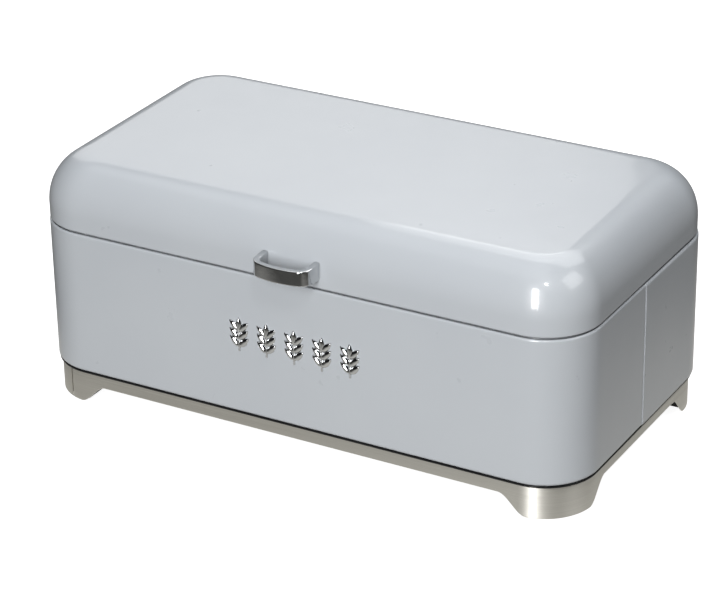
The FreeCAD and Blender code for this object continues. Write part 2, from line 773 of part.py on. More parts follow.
def ear_centres():
    half = EARS // 2
    return [f"(sizes.ear_place + {number} * sizes.ear_pitch)" for number in range(-half, half + 1)]


def stud_levels():
    return ["sizes.ear_level + sizes.stud_low", "sizes.ear_level + sizes.stud_high"]


def stud_places():
    return [(x, z) for x in ear_centres() for z in stud_levels()]


def kernel(sketch, base, lean):
    """One pointed grain that leans out from the stem by lean times the tilt."""
    angle = f"({lean} * sizes.kernel_tilt * 1 deg)"
    along, across = ("sizes.kernel_length", "sizes.kernel_width / 2")
    sine, cosine = f"sin({angle})", f"cos({angle})"
    bend = "sizes.kernel_bend"
    corners = []
    for step, side, radius in ((0, 0, None), (0.5, 1, bend), (1, 0, None), (0.5, -1, bend)):
        x = f"{step} * {along} * {sine} + {side} * {across} * {cosine}"
        z = f"{base} + {step} * {along} * {cosine} - {side} * {across} * {sine}"
        corners.append((x, z, radius) if radius else (x, z))
    outline(sketch, corners)


def ornament(label, x):
    """A chrome ear of wheat on two studs: a stem, pairs of leaning grains and one on top."""
    body = new_body(label, x)
    top_kernel = "sizes.ear_level + sizes.ear_height - sizes.kernel_length"
    stem = sketch_on(body, "Stem", "XZ_Plane", FRONT_WALL)
    rectangle(stem, "-sizes.stem_width / 2", "sizes.ear_level", "sizes.stem_width / 2",
              f"{top_kernel} + sizes.stem_overlap")
    pad(body, "StemPad", stem, "sizes.stem_rise")
    leans = [(top_kernel, 0)]
    for pair in range(KERNEL_PAIRS):
        base = f"{top_kernel} - {pair} * sizes.kernel_pitch"
        leans += [(base, 1), (base, -1)]
    for number, (base, lean) in enumerate(leans, start=1):
        sketch = sketch_on(body, f"Kernel{number}", "XZ_Plane", FRONT_WALL)
        kernel(sketch, base, lean)
        pad(body, f"Kernel{number}Pad", sketch, "sizes.ear_rise", taper=-BEVEL)
    studs = sketch_on(body, "Studs", "XZ_Plane", FRONT_WALL)
    for z in stud_levels():
        circle(studs, "0", z, "sizes.stud_radius")
    pad(body, "StudsPad", studs, "sizes.stud_length", reverse=True)
    return body


def push_nuts():
    wall = f"-({FRONT_WALL}) + sizes.gauge"
    return stack("push_nuts", stud_places(), [
        (wall, f"{wall} + sizes.nut_gauge", "sizes.nut_radius", "sizes.stud_radius")])


# ---------------------------------------------------------------- assembly

pieces = [
    front_shell(), rear_shell(), floor_pan(), base_frame(), plinth_band(), base_rivets(),
    lid_shell(), handle(), handle_screws(), handle_washers(),
    hinge_rivets("hinge_body_rivets", REAR_WALL, "sizes.body_rivet_level", REAR_WALL),
    hinge_rivets("hinge_lid_rivets", LID_WALL, "sizes.lid_rivet_level", LID_WALL),
    push_nuts(),
]
for corner_name, (pad_x, pad_y) in zip(("front_left", "front_right", "rear_left", "rear_right"),
                                       pad_places()):
    pieces.append(foot_pad(f"foot_pad_{corner_name}", pad_x, pad_y))
for side_name, hinge_x in (("left", "-sizes.hinge_place"), ("right", "sizes.hinge_place")):
    pieces.append(hinge_body_leaf(f"hinge_body_leaf_{side_name}", hinge_x))
    pieces.append(hinge_lid_leaf(f"hinge_lid_leaf_{side_name}", hinge_x))
    pieces.append(hinge_pin(f"hinge_pin_{side_name}", hinge_x))
for ear_number, ear_x in enumerate(ear_centres(), start=1):
    pieces.append(ornament(f"ornament_{ear_number}", ear_x))

doc.recompute()
for item in doc.Objects:
    if {"Invalid", "Error"} & set(item.State):
        raise RuntimeError(f"{item.Label} did not compute: {item.State}")
os.makedirs("parts", exist_ok=True)
for piece in pieces:
    if piece.Shape.isNull() or not piece.Shape.isValid():
        raise RuntimeError(f"{piece.Label} has no valid shape")
    piece.Shape.exportStep(f"parts/{piece.Label}.step")
    box = piece.Shape.optimalBoundingBox()
    print(f"{piece.Label}: {len(piece.Shape.Solids)} solids, {piece.Shape.Volume:.0f} mm3, "
          f"x {box.XMin:.1f} {box.XMax:.1f}, y {box.YMin:.1f} {box.YMax:.1f}, "
          f"z {box.ZMin:.1f} {box.ZMax:.1f}")
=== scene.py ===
"""The looks of the bread bin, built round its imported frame. Lengths are in metres."""

import json
import math

import bpy
from mathutils import Matrix, Vector

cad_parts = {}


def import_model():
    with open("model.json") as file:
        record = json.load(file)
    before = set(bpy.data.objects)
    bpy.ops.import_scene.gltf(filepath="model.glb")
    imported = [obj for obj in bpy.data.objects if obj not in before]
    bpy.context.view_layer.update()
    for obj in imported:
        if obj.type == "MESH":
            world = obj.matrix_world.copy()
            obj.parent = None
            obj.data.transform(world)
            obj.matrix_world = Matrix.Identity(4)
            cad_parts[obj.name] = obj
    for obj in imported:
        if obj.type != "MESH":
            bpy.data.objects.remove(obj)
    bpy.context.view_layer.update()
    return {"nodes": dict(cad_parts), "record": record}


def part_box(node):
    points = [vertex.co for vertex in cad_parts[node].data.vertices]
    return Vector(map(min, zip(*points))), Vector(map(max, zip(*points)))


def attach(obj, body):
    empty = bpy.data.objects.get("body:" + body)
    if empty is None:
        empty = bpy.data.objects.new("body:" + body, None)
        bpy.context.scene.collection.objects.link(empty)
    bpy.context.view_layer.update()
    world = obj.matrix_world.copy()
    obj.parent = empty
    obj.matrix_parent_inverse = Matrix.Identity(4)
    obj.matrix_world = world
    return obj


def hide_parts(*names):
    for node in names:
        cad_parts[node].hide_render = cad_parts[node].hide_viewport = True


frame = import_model()

MM = 0.001

# ---------------------------------------------------------------- sizes taken from the frame

front_low, front_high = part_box("front_shell")
rear_low, rear_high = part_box("rear_shell")
lid_low, lid_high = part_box("lid_shell")
band_low, band_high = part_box("plinth_band")
handle_low, handle_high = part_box("handle")

MIDDLE_Y = (lid_low.y + lid_high.y) / 2
HALF_X = rear_high.x
HALF_Y = rear_high.y - MIDDLE_Y
CORNER = 40 * MM         # corners of the body in plan
GAUGE = 0.8 * MM         # sheet of the shells and the lid
LID_GAP = 0.6 * MM       # between the CAD lid's edge and the body's lip
LID_TUCK = 0.3 * MM      # how far the visible skirt stands inside the CAD lid's
LID_INSET = HALF_X - lid_high.x + LID_TUCK
BAND_INSET = HALF_X - band_high.x
PIECE_EDGE = math.radians(60)
CAD_EDGE = math.radians(32)


# ---------------------------------------------------------------- plan outlines

def fractions(count, edge=0.02):
    """Even steps from -1 to 1, with one more close to each end."""
    inner = [-1 + edge + (2 - 2 * edge) * i / count for i in range(count + 1)]
    return [-1.0, *inner, 1.0]


def plan_walk(corner_steps=20, long_steps=24, short_steps=12):
    """Once round a rounded rectangle, from the middle of the right side through the front.

    Each step is (u, v, direction): u and v place the corner's centre, -1 to 1, and the
    outline lies one corner radius from there along the direction.
    """
    short = [f for f in fractions(short_steps) if f >= 0]
    walk = [(1, -f, Vector((1, 0))) for f in short]
    for u, v, start in ((1, -1, 0), (-1, -1, -90), (-1, 1, -180), (1, 1, -270)):
        for k in range(1, corner_steps):
            angle = math.radians(start - 90 * k / corner_steps)
            walk.append((u, v, Vector((math.cos(angle), math.sin(angle)))))
        if (u, v) == (1, -1):
            walk += [(-f, -1, Vector((0, -1))) for f in fractions(long_steps)]
        elif (u, v) == (-1, -1):
            walk += [(-1, f, Vector((-1, 0))) for f in fractions(short_steps)]
        elif (u, v) == (-1, 1):
            walk += [(f, 1, Vector((0, 1))) for f in fractions(long_steps)]
    walk += [(1, f, Vector((1, 0))) for f in reversed(short) if f > 0]
    return walk


WALK = plan_walk()


def plan_point(step, inset, radius, z):
    """A step's point on the outline moved in by inset, with its own corner radius."""
    u, v, direction = step
    x = (HALF_X - inset - radius) * u + radius * direction.x
    y = (HALF_Y - inset - radius) * v + radius * direction.y
    return Vector((x, MIDDLE_Y + y, z))


def parallel_point(step, inset, z):
    """The outline moved in by inset, as a sheet that keeps its gauge round the corners."""
    return plan_point(step, inset, CORNER - inset, z)


# ---------------------------------------------------------------- sections

def rounded(points, steps=6):
    """Straight runs through (a, b, radius), with an arc of that radius at each corner."""
    path = []
    for i, (a, b, radius) in enumerate(points):
        here = Vector((a, b))
        if not radius:
            path.append(here)
            continue
        back = (Vector(points[i - 1][:2]) - here).normalized()
        ahead = (Vector(points[i + 1][:2]) - here).normalized()
        half = back.angle(ahead) / 2
        centre = here + (back + ahead).normalized() * (radius / math.sin(half))
        first = here + back * (radius / math.tan(half)) - centre
        last = here + ahead * (radius / math.tan(half)) - centre
        turn = math.copysign(math.pi - 2 * half, first.cross(last))
        for k in range(steps + 1):
            path.append(centre + Matrix.Rotation(turn * k / steps, 2) @ first)
    return path


def supported(path, near=0.5 * MM, longest=12 * MM):
    """Extra points beside the ends of each long run, so that flats shade flat."""
    full = [path[0]]
    for start, end in zip(path, path[1:]):
        run = (end - start).length
        if run > 4 * near:
            inner = max(1, round(run / longest))
            for k in range(inner + 1):
                full.append(start.lerp(end, (near + (run - 2 * near) * k / inner) / run))
        full.append(end)
    return full


def thickened(path, gauge=GAUGE, tip_steps=4, bite=0.0):
    """The closed outline of a sheet along a path, with round ends; bite thins its outside."""
    def normal(i):
        before = (path[i] - path[max(i - 1, 0)]).normalized()
        after = (path[min(i + 1, len(path) - 1)] - path[i]).normalized()
        along = (before + after).normalized()
        return Vector((-along.y, along.x))
    normals = [normal(i) for i in range(len(path))]
    half = gauge / 2
    left = [p + n * (half - bite) for p, n in zip(path, normals)]
    right = [p - n * half for p, n in zip(path, normals)]

    def tip(point, n, way):
        return [point + Matrix.Rotation(way * math.pi * k / tip_steps, 2) @ n * half
                for k in range(1, tip_steps)]
    return left + tip(path[-1], normals[-1], -1) + right[::-1] + tip(path[0], -normals[0], -1)


# ---------------------------------------------------------------- meshes

def mesh_piece(name, points, faces, body, slot, stands_for, uvs=None):
    """A closed mesh that rides on a CAD body and stands for the CAD nodes given."""
    mesh = bpy.data.meshes.new(name)
    mesh.from_pydata([tuple(p) for p in points], [], faces)
    mesh.validate()
    if uvs:
        layer = mesh.uv_layers.new(name="UVMap")
        for loop in mesh.loops:
            layer.data[loop.index].uv = uvs[loop.vertex_index]
    mesh.shade_smooth()
    mesh.set_sharp_from_angle(angle=PIECE_EDGE)
    piece = bpy.data.objects.new(name, mesh)
    bpy.context.scene.collection.objects.link(piece)
    mesh.materials.append(FINISHES[slot])
    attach(piece, body)
    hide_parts(*stands_for)


def loft(rings):
    """Quads between rings of equally many points."""
    count = len(rings[0])
    points = [p for ring in rings for p in ring]
    faces = []
    for here in range(0, count * (len(rings) - 1), count):
        there = here + count
        for k in range(count):
            n = (k + 1) % count
            faces.append((here + k, here + n, there + n, there + k))
    return points, faces


def capped(rings):
    """A loft through the rings, closed by a flat face at each end and turned outward."""
    points, faces = loft(rings)
    count = len(rings[0])
    faces.append(tuple(reversed(range(count))))
    faces.append(tuple(range(len(points) - count, len(points))))
    return points, outward(points, faces)


def outward(points, faces):
    """Turn every face over if the closed mesh encloses a negative volume."""
    volume = 0.0
    for face in faces:
        for a, b in zip(face[1:], face[2:]):
            volume += points[face[0]].dot(points[a].cross(points[b]))
    return faces if volume > 0 else [tuple(reversed(face)) for face in faces]


# ---------------------------------------------------------------- materials

def new_material(name, **sockets):
    """A material whose shader sockets are set by name, with _ for each space."""
    material = bpy.data.materials.new(name)
    material.use_nodes = True
    shader = material.node_tree.nodes["Principled BSDF"]
    for socket, setting in sockets.items():
        shader.inputs[socket.replace("_", " ")].default_value = setting
    return material


class Graph:
    """Short calls for the few nodes that the materials are made of."""

    def __init__(self, material):
        self.tree = material.node_tree
        self.shader = self.tree.nodes["Principled BSDF"]
        self.bumps = None

    def node(self, kind, **settings):
        node = self.tree.nodes.new(kind)
        for key, setting in settings.items():
            setattr(node, key, setting)
        return node

    def link(self, start, end):
        self.tree.links.new(start, end)

    def position(self, stretch=(1, 1, 1), source="Object"):
        where = self.node("ShaderNodeTexCoord").outputs[source]
        mapping = self.node("ShaderNodeMapping")
        mapping.inputs["Scale"].default_value = stretch
        self.link(where, mapping.inputs["Vector"])
        return mapping.outputs["Vector"]

    def noise(self, scale, detail=4.0, rough=0.55, stretch=(1, 1, 1), source="Object"):
        """Cloudy noise from 0 to 1, with about scale clouds to the metre."""
        texture = self.node("ShaderNodeTexNoise")
        texture.inputs["Scale"].default_value = scale
        texture.inputs["Detail"].default_value = detail
        texture.inputs["Roughness"].default_value = rough
        self.link(self.position(stretch, source), texture.inputs["Vector"])
        return texture.outputs["Fac"]

    def spread(self, factor, low, high, start=0.3, end=0.7):
        """A factor mapped from start..end to low..high."""
        mapper = self.node("ShaderNodeMapRange")
        for socket, setting in zip(("From Min", "From Max", "To Min", "To Max"),
                                   (start, end, low, high)):
            mapper.inputs[socket].default_value = setting
        self.link(factor, mapper.inputs["Value"])
        return mapper.outputs["Result"]

    def blend(self, factor, first, second):
        """From the first colour at factor 0 to the second at 1."""
        mix = self.node("ShaderNodeMix", data_type="RGBA")
        self.link(factor, mix.inputs["Factor"])
        for socket, colour in (("A", first), ("B", second)):
            if isinstance(colour, tuple):
                mix.inputs[socket].default_value = (*colour, 1)
            else:
                self.link(colour, mix.inputs[socket])
        return mix.outputs["Result"]

    def colour(self, socket):
        self.link(socket, self.shader.inputs["Base Color"])

    def painted_crevice_shade(self, colour, reach, depth=0.12, closed=0.25, clear=0.62):
        """The colour darkened as painted shade, down to depth of itself, where other surfaces close
        in within reach.

        It is darkest at an openness of closed, and left as it is from clear upward.
        """
        shade = self.node("ShaderNodeAmbientOcclusion", samples=8)
        shade.inputs["Distance"].default_value = reach
        level = self.spread(shade.outputs["AO"], depth, 1.0, closed, clear)
        tint = self.node("ShaderNodeMix", data_type="RGBA", blend_type="MULTIPLY")
        tint.inputs["Factor"].default_value = 1.0
        self.link(colour, tint.inputs["A"])
        self.link(level, tint.inputs["B"])
        return tint.outputs["Result"]

    def roughness(self, socket):
        self.link(socket, self.shader.inputs["Roughness"])

    def bump(self, height, distance, strength=1.0):
        """One more layer of relief, distance in metres."""
        bump = self.node("ShaderNodeBump")
        bump.inputs["Distance"].default_value = distance
        bump.inputs["Strength"].default_value = strength
        self.link(height, bump.inputs["Height"])
        if self.bumps:
            self.link(self.bumps, bump.inputs["Normal"])
        self.bumps = bump.outputs["Normal"]
        self.link(self.bumps, self.shader.inputs["Normal"])


# Reach of the painted shade that darkens the paint colour in crevices and gaps
CREVICE_SHADE_REACH = 4 * MM


def painted_steel():
    """Glossy powder coat: faint orange peel, slow drift of colour and gloss, and painted shade
    darkening its crevices.
    """
    material = new_material("painted_steel", Metallic=0.0, Coat_Weight=0.55, Coat_Roughness=0.07)
    graph = Graph(material)
    drift = graph.noise(9, 3)
    paint = graph.blend(graph.spread(drift, 0, 1), (0.490, 0.520, 0.555), (0.510, 0.540, 0.572))
    # Painted shade: the paint colour is darkened where other surfaces close in, at gaps and
    # contacts
    graph.colour(graph.painted_crevice_shade(paint, CREVICE_SHADE_REACH))
    graph.roughness(graph.spread(graph.noise(38, 5), 0.27, 0.35))
    graph.bump(graph.noise(520, 2, 0.4), 0.012 * MM)
    graph.bump(graph.noise(60, 2), 0.02 * MM)
    return material


def brushed_band():
    """Stainless strip, brushed along its length, so that highlights stretch across it."""
    material = new_material("stainless_band", Metallic=1.0, Anisotropic=0.85,
                            Anisotropic_Rotation=0.25)
    graph = Graph(material)
    grain = graph.noise(1, 6, 0.7, (9, 5200, 1), "UV")
    coarse = graph.noise(1, 3, 0.6, (4, 900, 1), "UV")
    graph.colour(graph.blend(graph.spread(grain, 0, 1), (0.66, 0.645, 0.60), (0.80, 0.785, 0.74)))
    graph.roughness(graph.spread(coarse, 0.38, 0.50))
    graph.bump(grain, 0.006 * MM)
    tangent = graph.node("ShaderNodeTangent", direction_type="UV_MAP", uv_map="UVMap")
    graph.link(tangent.outputs["Tangent"], graph.shader.inputs["Tangent"])
    return material


def chrome():
    """Plated casting: a slow waviness under the polish, and finger marks."""
    material = new_material("chrome", Metallic=1.0)
    graph = Graph(material)
    marks = graph.noise(120, 4)
    graph.colour(graph.blend(graph.spread(marks, 0, 1), (0.56, 0.57, 0.58), (0.64, 0.645, 0.65)))
    graph.roughness(graph.spread(graph.noise(300, 5), 0.04, 0.12))
    graph.bump(graph.noise(160, 2), 0.05 * MM)
    return material


def plated_steel():
    """Zinc plate on small steel parts: fine spangle and dull rubbed spots."""
    material = new_material("plated_steel", Metallic=1.0)
    graph = Graph(material)
    spangle = graph.noise(900, 3)
    graph.colour(graph.blend(graph.spread(spangle, 0, 1), (0.52, 0.53, 0.54), (0.70, 0.71, 0.72)))
    graph.roughness(graph.spread(graph.noise(400, 5), 0.22, 0.42))
    graph.bump(spangle, 0.01 * MM)
    return material


def black_plastic():
    """Glossy black moulding with a very fine texture."""
    material = new_material("black_plastic", Specular_IOR_Level=0.2)
    graph = Graph(material)
    graph.colour(graph.blend(graph.spread(graph.noise(150, 4), 0, 1),
                             (0.006, 0.006, 0.007), (0.012, 0.012, 0.013)))
    graph.roughness(graph.spread(graph.noise(700, 4), 0.16, 0.28))
    graph.bump(graph.noise(2600, 2), 0.01 * MM)
    return material


def rubber():
    """Matt black rubber, slightly dusty, with a leathery grain."""
    material = new_material("rubber")
    graph = Graph(material)
    graph.colour(graph.blend(graph.spread(graph.noise(220, 5), 0, 1),
                             (0.018, 0.018, 0.018), (0.045, 0.044, 0.042)))
    graph.roughness(graph.spread(graph.noise(500, 4), 0.70, 0.92))
    graph.bump(graph.noise(1500, 3), 0.04 * MM)
    return material


FINISHES = {
    "painted_steel": painted_steel(),
    "stainless_band": brushed_band(),
    "chrome": chrome(),
    "plated_steel": plated_steel(),
    "black_plastic": black_plastic(),
    "rubber": rubber(),
}


# ---------------------------------------------------------------- body shells

FLANGE_INSET = 18 * MM    # inner edge of the flange under the floor
NECK_INSET = 3.4 * MM     # outside of the neck that the lid closes over
BASE_BEND = 2.0 * MM
NECK_BEND = 0.7 * MM
FOLD_BEND = 0.75 * MM
LIP_SLOPE = 0.9 * MM      # how far the lip falls on its way in to the neck
FOLD_IN = 1.6 * MM        # the neck's top edge is folded in and down
FOLD_DOWN = 4.6 * MM
SEAM_FLARE = 2.2 * MM     # how far a shell's end runs over the other shell at the lip
FLARE_START = 8 * MM      # below the lid's edge
FLARE_RISE = 7 * MM
FLARE_LENGTH = 6 * MM
SEAM_STEPS = [0.0, 0.03, 0.12, 0.3, 0.6, 1.0, 2.0, 3.5, 6.0]   # mm from the end of a shell
FRONT_SHELL = {"wall_inset": 0.6 * MM, "lip_bend": 1.1 * MM, "seam_round": 0.1 * MM}
REAR_SHELL = {"wall_inset": 0.0 * MM, "lip_bend": 1.4 * MM, "seam_round": 0.7 * MM}


def shell_path(wall_inset, lip_bend):
    """The folded sheet's middle line, from the floor flange up to the fold of the neck."""
    half = GAUGE / 2
    wall = wall_inset + half
    neck = NECK_INSET + half
    base = front_low.z + half
    lip = lid_low.z - LID_GAP - half
    top = front_high.z - half
    return rounded([
        (FLANGE_INSET, base, 0),
        (wall, base, BASE_BEND),
        (wall, lip, lip_bend),
        (neck, lip - LIP_SLOPE, NECK_BEND),
        (neck, top, FOLD_BEND),
        (neck + FOLD_IN, top, FOLD_BEND),
        (neck + FOLD_IN, top - FOLD_DOWN, 0)])


def shell_ring(path, step, distance, side, seam_round):
    """The sheet's section at a step of the plan, at a distance from the shell's nearer end."""
    bite = 0.0
    if distance < seam_round:
        bite = seam_round - math.sqrt(seam_round ** 2 - (seam_round - distance) ** 2)
    points = [parallel_point(step, p.x, p.y) for p in thickened(path, bite=bite)]
    for point in points:
        rise = min(max((point.z - lid_low.z + FLARE_START) / FLARE_RISE, 0), 1)
        reach = max(1 - distance / FLARE_LENGTH, 0)
        point.y -= side * SEAM_FLARE * rise ** 3 * reach ** 2
    return points


def body_shell(name, side, stands_for, wall_inset, lip_bend, seam_round):
    """Half of the wall, the front for side -1 and the rear for 1.

    Its two ends are rounded off, and near the lip they run on over the other half.
    """
    path = supported(shell_path(wall_inset, lip_bend))
    span = HALF_Y - CORNER
    seam = (rear_low.y - MIDDLE_Y) / span
    margin = (SEAM_STEPS[-1] + 1) * MM
    steps = [step for step in WALK if (step[1] - seam) * side * span > margin]
    if side > 0:
        turn = next(i for i, step in enumerate(steps) if step[0] == -1)
        steps = steps[turn:] + steps[:turn]

    def end_ring(end, d):
        step = (end[0], seam + side * d * MM / span, end[2])
        return shell_ring(path, step, d * MM, side, seam_round)
    rings = [end_ring(steps[0], d) for d in SEAM_STEPS]
    rings += [shell_ring(path, step, 1.0, side, seam_round) for step in steps]
    rings += [end_ring(steps[-1], d) for d in reversed(SEAM_STEPS)]
    points, faces = capped(rings)
    mesh_piece(name, points, faces, "bin", "painted_steel", stands_for)


# ---------------------------------------------------------------- lid

SHOULDER_IN = 28 * MM     # the shoulder is this wide in plan
SHOULDER_UP = 34.4 * MM   # and this tall
SHOULDER_STEPS = 24
CROWN = 1.1 * MM          # how much the top bulges
CROWN_STEPS = [0.02, 0.06, 0.12, 0.2, 0.3, 0.42, 0.56, 0.7, 0.83]
TOP_CORNER = 19 * MM      # plan corners where the shoulder ends
LEAST_CORNER = 3 * MM
HEM = 6 * MM              # the hem is folded up inside the skirt
HEM_LIFT = 0.6 * MM       # the visible edge stands this much above the CAD's
HEM_STEPS = 6
EDGE_RADIUS = 0.55 * MM   # the skirt's folded edge
NEAR_EDGE = 0.5 * MM      # extra rings this close to an edge keep the flats flat
NEAR_SHOULDER = 0.6 * MM
LEAST_HALF = 0.5 * MM     # a ring's shorter straight side keeps at least this half length


def lid_profile():
    """Rings (inset, corner radius, height) over the lid, from outer crown to inner crown."""
    base = lid_low.z + HEM_LIFT
    edge = lid_high.z - CROWN
    skirt = edge - SHOULDER_UP
    narrowing = (CORNER - LID_INSET - TOP_CORNER) / SHOULDER_IN
    flat = HALF_Y - LID_INSET - SHOULDER_IN

    def radius(inset):
        return max(CORNER - LID_INSET - narrowing * (inset - LID_INSET), LEAST_CORNER)

    crown = [(LID_INSET + SHOULDER_IN + flat * share, edge + CROWN * (1 - (1 - share) ** 2))
             for share in CROWN_STEPS]
    end = math.pi / 2 - math.atan(2 * CROWN / flat)
    arc = []
    for k in range(SHOULDER_STEPS + 1):
        angle = end * (1 - k / SHOULDER_STEPS)
        inset = LID_INSET + SHOULDER_IN * (1 - math.cos(angle))
        arc.append((inset, skirt + SHOULDER_UP * math.sin(angle), angle))

    rings = crown[::-1] + [(i, z) for i, z, _ in arc]
    for z in (skirt - NEAR_SHOULDER, (skirt + base) / 2, base + EDGE_RADIUS + NEAR_EDGE):
        rings.append((LID_INSET, z))
    for k in range(HEM_STEPS + 1):
        angle = math.pi * k / HEM_STEPS
        across = EDGE_RADIUS * (1 - math.cos(angle))
        if 2 * k > HEM_STEPS:
            across += 2 * (GAUGE - EDGE_RADIUS)
        rings.append((LID_INSET + across, base + EDGE_RADIUS * (1 - math.sin(angle))))
    double = LID_INSET + 2 * GAUGE
    inner_wall = LID_INSET + GAUGE
    hem_top = base + HEM
    rings += [(double, base + EDGE_RADIUS + NEAR_EDGE), (double, hem_top - NEAR_EDGE),
              (double - GAUGE / 4, hem_top), (double - GAUGE, hem_top + GAUGE / 4),
              (inner_wall, hem_top + GAUGE), (inner_wall, skirt - NEAR_SHOULDER)]
    for i, z, angle in reversed(arc):
        lean = math.atan2(math.sin(angle) / SHOULDER_UP, math.cos(angle) / SHOULDER_IN)
        rings.append((i + GAUGE * math.cos(lean), z - GAUGE * math.sin(lean)))
    rings += [(i, z - GAUGE) for i, z in crown]
    return [(i, radius(i), z) for i, z in rings]


def lid():
    """The whole lid as one sheet: crown, shoulder, skirt and hem, then back up inside."""
    rings = []
    for inset, radius, z in lid_profile():
        corner = min(radius, HALF_Y - inset - LEAST_HALF)
        rings.append([plan_point(step, inset, corner, z) for step in WALK])
    points, faces = capped(rings)
    mesh_piece("lid_skin", points, faces, "lid", "painted_steel", ["lid_shell"])


# ---------------------------------------------------------------- plinth band

RAIL = 14.7 * MM          # bottom edge of the strip between the feet, at the front and back
END_RAIL = 15.9 * MM      # and on the short sides
LONG_ARCH = (154.5 * MM, 20.5 * MM)    # where a foot's curve starts, from the middle, and its width
SIDE_FRONT_ARCH = (57.5 * MM, 21 * MM)
SIDE_REAR_ARCH = (54.8 * MM, 18.9 * MM)
SEAM_X = -184 * MM
SEAM_GAP = 1.7 * MM
STRIP_GAUGE = 0.5 * MM
STRIP_BEVEL = 0.18 * MM
SIDE_REACH = 1 * MM       # a point this close to a straight side's line belongs to it
FOOT_STEPS = 16
BAND_CORNER_STEPS = 24


def arch(distance, start, width):
    """How much of the foot there is at a distance from the middle: 0 rail, 1 foot."""
    share = min(max((distance - start) / width, 0), 1)
    return share * share * (3 - 2 * share)


def band_bottom(point):
    """Height of the strip's bottom edge at a point of the outline."""
    along = point.y - MIDDLE_Y
    on_long = abs(along) > HALF_Y - BAND_INSET - SIDE_REACH
    on_short = abs(point.x) > HALF_X - BAND_INSET - SIDE_REACH
    foot = 1.0
    if on_long:
        foot = arch(abs(point.x), *LONG_ARCH)
    elif on_short:
        foot = arch(abs(along), *(SIDE_FRONT_ARCH if along < 0 else SIDE_REAR_ARCH))
    rail = RAIL if on_long else END_RAIL
    return band_low.z + (rail - band_low.z) * (1 - foot)


def band_walk():
    """Steps round the band, close together where the feet curve."""
    def curve(start, width, straight):
        return [(start + width * k / FOOT_STEPS) / straight for k in range(FOOT_STEPS + 1)]

    def run(shares, count):
        half = sorted({round(f, 6) for f in shares if f < 1}
                      | {shares[0] * k / count for k in range(count + 1)} | {1.0})
        return [-f for f in reversed(half) if f > 0] + half
    long_run = run(curve(*LONG_ARCH, HALF_X - CORNER), 14)
    short_run = run(curve(*SIDE_FRONT_ARCH, HALF_Y - CORNER), 7)
    walk = []
    sides = (((1, 0), short_run, -1), ((0, -1), long_run, -1), ((-1, 0), short_run, 1),
             ((0, 1), long_run, 1))
    for (dx, dy), shares, way in sides:
        direction = Vector((dx, dy))
        for f in shares:
            walk.append((dx, way * f, direction) if dx else (way * f, dy, direction))
        u, v = walk[-1][0], walk[-1][1]
        start = math.atan2(dy, dx)
        for k in range(1, BAND_CORNER_STEPS):
            angle = start - math.pi / 2 * k / BAND_CORNER_STEPS
            walk.append((u, v, Vector((math.cos(angle), math.sin(angle)))))
    return walk


def strip_section(low, high):
    """The strip's bevelled section as (inset, height) pairs."""
    bevel = STRIP_BEVEL
    outer, inner = BAND_INSET, BAND_INSET + STRIP_GAUGE
    section = [(outer, low + bevel), (outer, low + 3 * bevel)]
    section += [(outer, low + (high - low) * k / 6) for k in range(1, 6)]
    section += [(outer, high - 3 * bevel), (outer, high - bevel), (outer + bevel, high),
                (inner - bevel, high), (inner, high - bevel), (inner, low + bevel),
                (inner - bevel, low), (outer + bevel, low)]
    return section


def plinth_band():
    """One strip round the base that starts and ends at the seam near the front left corner."""
    walk = band_walk()
    outline = [parallel_point(step, BAND_INSET, 0) for step in walk]
    seam_angle = math.acos((-SEAM_X - (HALF_X - CORNER)) / (CORNER - BAND_INSET))
    half_gap = SEAM_GAP / 2 / (CORNER - BAND_INSET)

    def seam_step(offset):
        angle = math.pi + seam_angle + offset
        return (-1, -1, Vector((math.cos(angle), math.sin(angle))))
    cut = next(i for i, p in enumerate(outline)
               if p.x < SEAM_X and p.y < MIDDLE_Y and i > 0 and outline[i - 1].x > SEAM_X)
    steps = [seam_step(-half_gap), *walk[cut:], *walk[:cut], seam_step(half_gap)]
    rings = []
    uvs = []
    travelled = 0.0
    last = None
    for step in steps:
        spot = parallel_point(step, BAND_INSET, 0)
        travelled += (spot - last).length if last else 0.0
        last = spot
        section = strip_section(band_bottom(spot), band_high.z)
        rings.append([parallel_point(step, i, z) for i, z in section])
        uvs += [(travelled, z) for _, z in section]
    points, faces = capped(rings)
    mesh_piece("plinth_strip", points, faces, "bin", "stainless_band", ["plinth_band"], uvs)


# ---------------------------------------------------------------- handle

HANDLE_STRAP = 4.4 * MM
HANDLE_BEND = 9.0 * MM    # outer radius of the bow's two bends
HANDLE_BOW = 4.6 * MM     # how far the middle stands out past the bends
HANDLE_REACH = 16 * MM    # from the lid's skirt to the bends' outer line
HANDLE_SINK = 0.4 * MM    # how far the roots run into the skirt
HANDLE_CURVE = 58 * MM
HANDLE_SHORT = 10.3 * MM  # height of the strap at the middle of the bow
HANDLE_ROUND = 0.75 * MM
HANDLE_STEPS = 14


def rounded_bar(thick, tall, radius, steps=4):
    """A closed rounded rectangle (across, up), with support points beside each corner."""
    section = []
    for sx, sy, start in ((1, 1, 0), (-1, 1, 90), (-1, -1, 180), (1, -1, 270)):
        centre = Vector((sx * (thick / 2 - radius), sy * (tall / 2 - radius)))
        arc = []
        for k in range(steps + 1):
            angle = math.radians(start + 90 * k / steps)
            arc.append(centre + radius * Vector((math.cos(angle), math.sin(angle))))
        outward_way = Vector((math.cos(math.radians(start)), math.sin(math.radians(start))))
        along_way = Vector((-outward_way.y, outward_way.x))
        beside = radius * 0.4
        section += [arc[0] - along_way * beside, *arc, arc[-1] - outward_way * beside]
    return section


